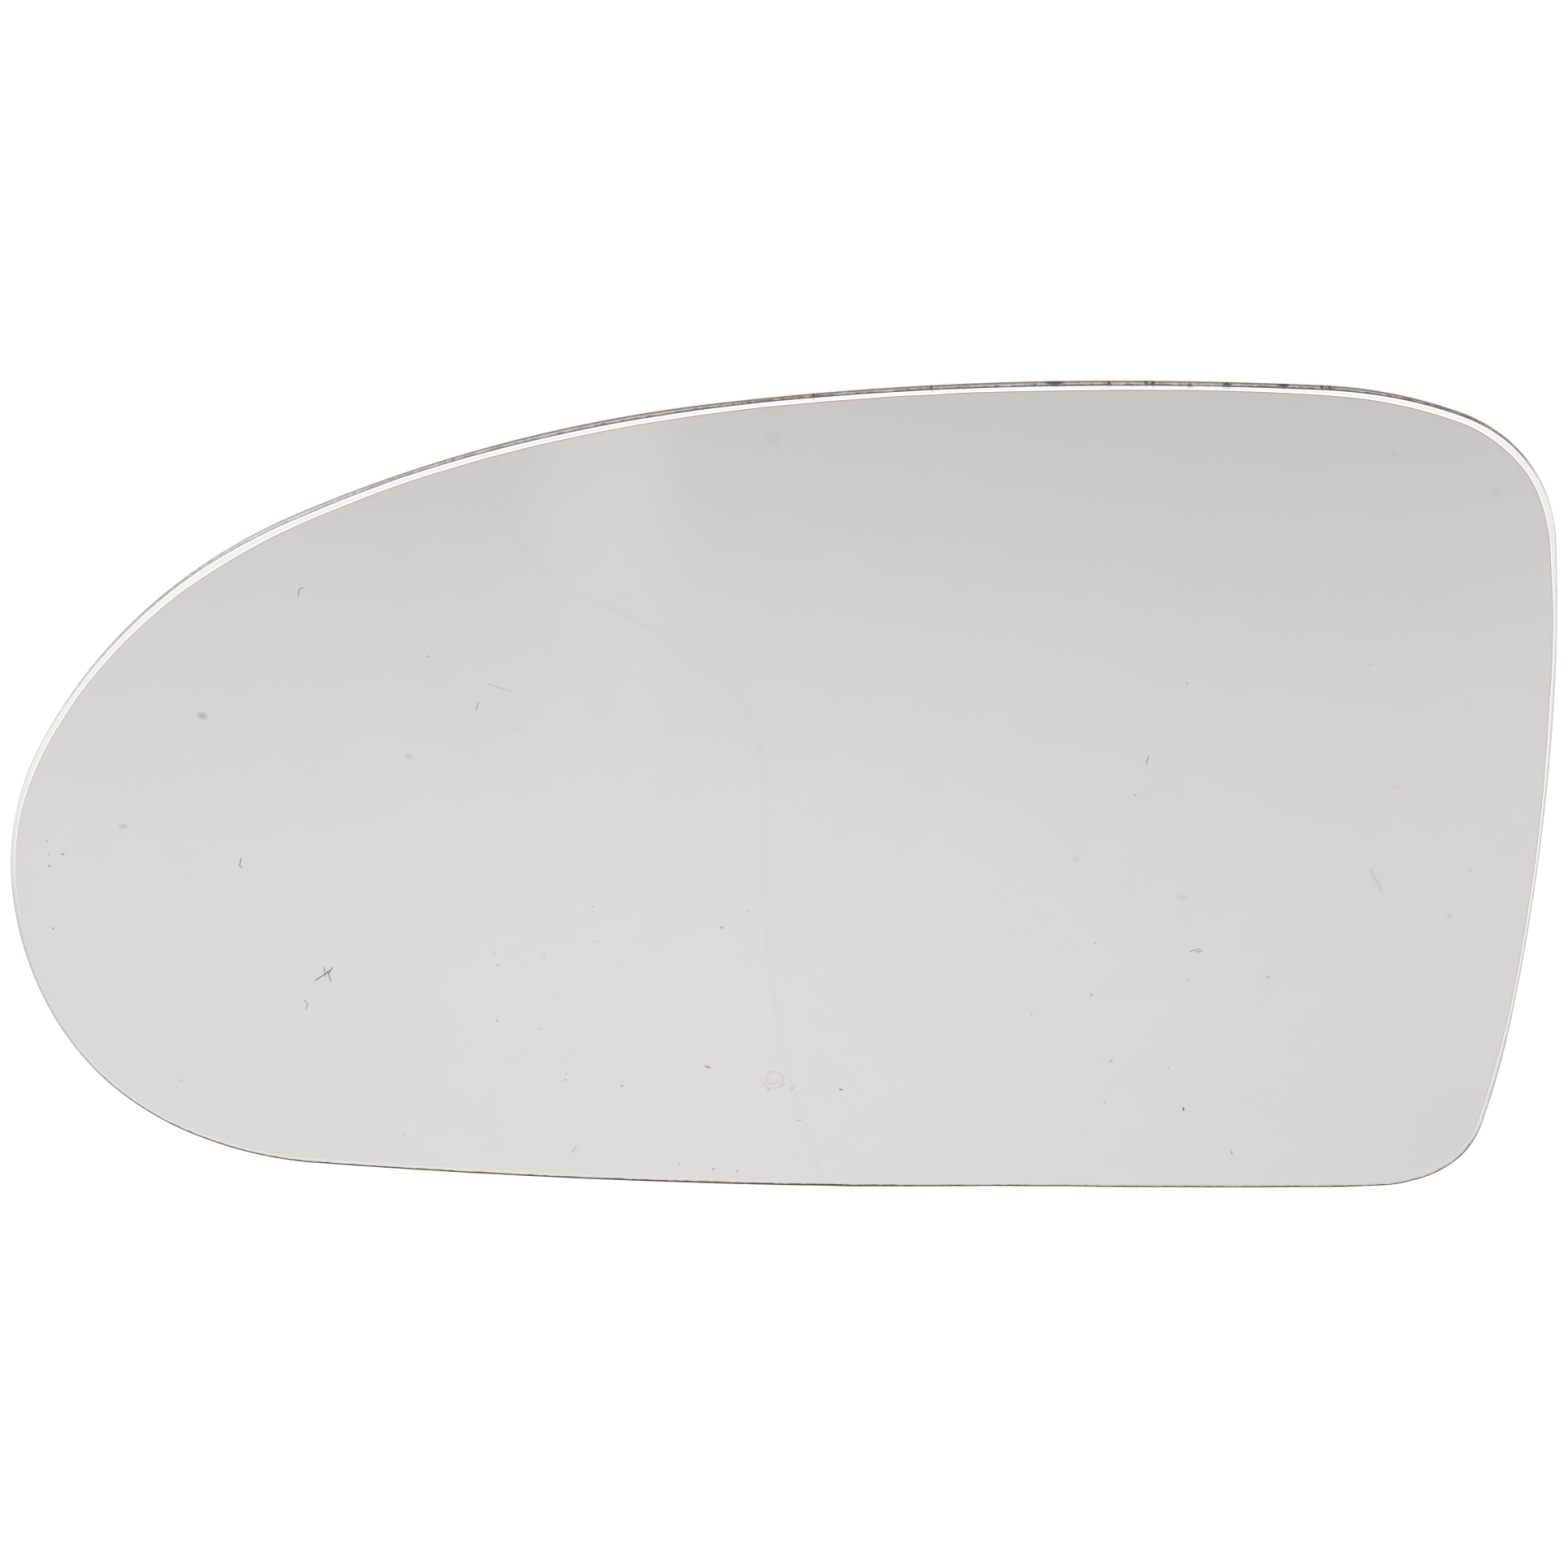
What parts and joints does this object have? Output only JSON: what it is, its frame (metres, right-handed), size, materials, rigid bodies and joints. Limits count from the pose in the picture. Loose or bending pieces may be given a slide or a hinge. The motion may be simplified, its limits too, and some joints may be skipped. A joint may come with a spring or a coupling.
{
  "type": "car door mirror glass",
  "caption": "Flat left-hand door mirror glass plate with a front reflecting face and a ground seam along its curved outline.",
  "frame": {"origin": "middle of the overall width and height, on the rear face", "axes": "+Z out of the reflecting front face, +X to the viewer's right, +Y up as the glass stands in a left-hand door mirror"},
  "size_m": [0.178, 0.103, 0.002],
  "materials": {
    "mirror_glass": "polished reflecting front, fine-ground white seam, plain cut grey edge"
  },
  "bodies": {
    "root": {"mirror_glass": "mirror_glass"}
  },
  "joints": []
}
